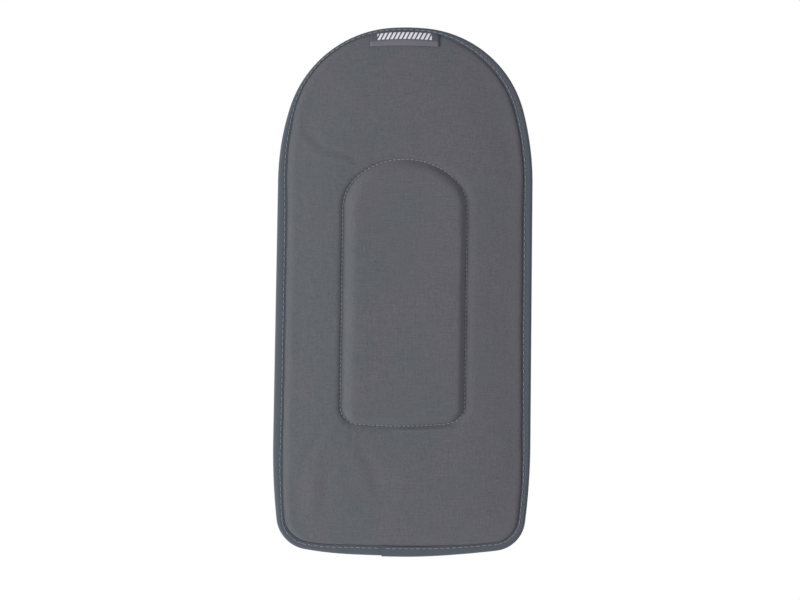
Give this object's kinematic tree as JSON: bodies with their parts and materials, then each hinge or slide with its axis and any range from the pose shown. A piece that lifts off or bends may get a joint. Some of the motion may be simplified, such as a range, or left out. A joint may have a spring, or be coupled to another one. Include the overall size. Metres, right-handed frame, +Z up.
{
  "type": "back protector",
  "caption": "Soft quilted back pad: arched top, rounded lower corners, raised centre panel, taped edge, and hook tape on its back.",
  "frame": {"origin": "middle of the whole pad", "axes": "+X to the right as the front is seen, +Y out of the back, +Z up along the length to the arched top; the raised centre panel faces -Y"},
  "size_m": [0.204, 0.02, 0.42],
  "materials": {
    "cover_cloth": "matt plain weave, dark grey",
    "back_cloth": "matt plain weave, dark grey",
    "foam": "closed-cell foam, matt",
    "stiffener": "plain sheet",
    "inner_cloth": "non-woven",
    "binding_tape": "woven herringbone tape, slate grey",
    "thread": "twisted sewing thread, pale grey",
    "label_ribbon": "fine woven ribbon with a pale bar",
    "hook_tape": "woven base with nylon hooks, black",
    "hook_thread": "twisted sewing thread, black"
  },
  "bodies": {
    "root": {"front_cover": "cover_cloth", "back_cover": "back_cloth", "main_foam": "foam", "stiffener_sheet": "stiffener", "backing_cloth": "inner_cloth", "centre_pad_foam": "foam", "edge_binding": "binding_tape", "binding_needle_thread": "thread", "binding_bobbin_thread": "thread", "centre_pad_needle_thread": "thread", "centre_pad_bobbin_thread": "thread", "woven_label": "label_ribbon", "upper_hook_strip": "hook_tape", "upper_hook_needle_thread": "hook_thread", "upper_hook_bobbin_thread": "hook_thread", "lower_hook_strip": "hook_tape", "lower_hook_needle_thread": "hook_thread", "lower_hook_bobbin_thread": "hook_thread"}
  },
  "joints": []
}
